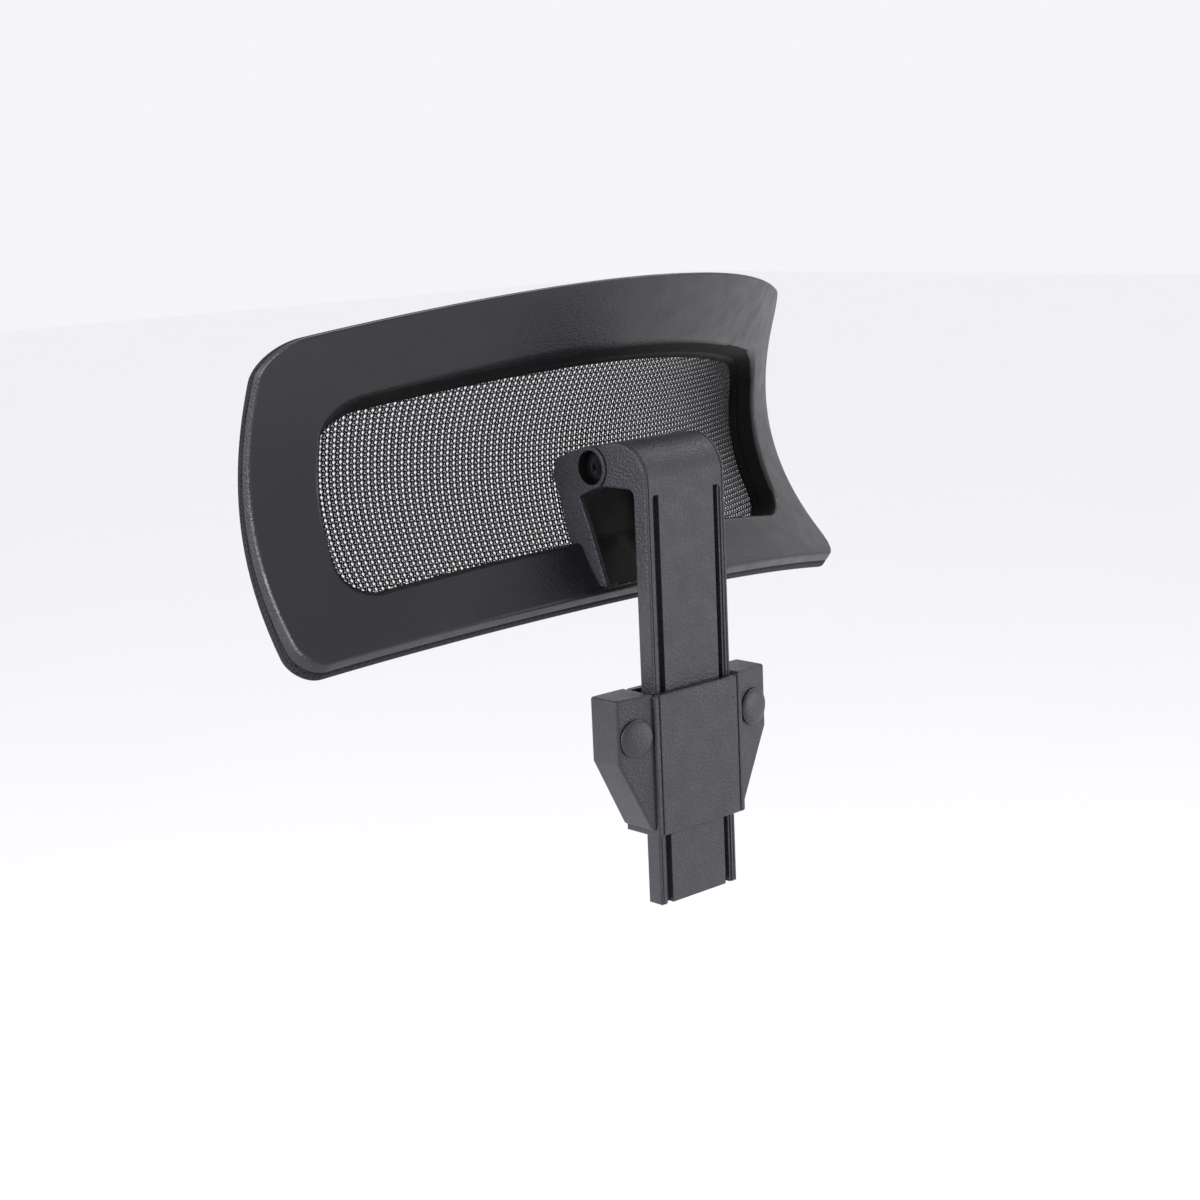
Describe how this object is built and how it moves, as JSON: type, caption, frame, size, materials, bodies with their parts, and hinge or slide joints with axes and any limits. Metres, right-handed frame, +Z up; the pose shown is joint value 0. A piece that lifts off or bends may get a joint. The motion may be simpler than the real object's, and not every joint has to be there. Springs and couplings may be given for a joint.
{
  "type": "chair headrest attachment",
  "caption": "Mesh chair headrest on a hooked slider bar; the bar slides in a bracket for height and the headrest tilts about a pin at the bar's top.",
  "frame": {"origin": "centre of the bracket's flat front face, where it meets the chair back", "axes": "+Z up along the slider bar, +Y to the rear, the sitter is on the -Y side, +X across"},
  "size_m": [0.3078, 0.1048, 0.2571],
  "materials": {
    "shell_plastic": "fine grained charcoal moulding",
    "bar_plastic": "fine grained charcoal moulding",
    "bracket_plastic": "fine grained charcoal moulding",
    "cap_plastic": "satin charcoal",
    "inner_plastic": "plain black",
    "acetal": "natural acetal",
    "knit": "open warp-knit mesh",
    "black_steel": "glossy black",
    "steel": "zinc plated"
  },
  "bodies": {
    "bracket": {"bracket_housing": "bracket_plastic", "bracket_back_plate": "inner_plastic", "friction_pad": "inner_plastic", "leaf_spring": "steel", "plate_screw_upper_left": "steel", "plate_screw_upper_right": "steel", "plate_screw_lower_left": "steel", "plate_screw_lower_right": "steel", "glide_liner_left": "acetal", "glide_liner_right": "acetal", "mount_screw_left": "steel", "mount_screw_right": "steel", "mount_washer_left": "steel", "mount_washer_right": "steel", "screw_cap_left": "cap_plastic", "screw_cap_right": "cap_plastic"},
    "slider": {"slider_bar": "bar_plastic", "travel_stop": "inner_plastic", "travel_stop_screw": "steel", "pivot_bush_left": "acetal", "pivot_bush_right": "acetal"},
    "headrest": {"headrest_frame": "shell_plastic", "mesh_carrier": "inner_plastic", "mesh_hem": "knit", "mesh_panel": "knit", "pivot_bolt": "black_steel", "pivot_nut": "steel", "friction_washer_left": "acetal", "friction_washer_right": "acetal"}
  },
  "joints": [
    {"name": "height_slide", "type": "slide", "parent": "bracket", "child": "slider", "axis": [0, 0, 1], "range_m": [-0.025, 0.02]},
    {"name": "headrest_tilt", "type": "hinge", "parent": "slider", "child": "headrest", "pos_m": [0, -0.0154, 0.1206], "axis": [1, 0, 0], "range_deg": [-25, 15]}
  ]
}
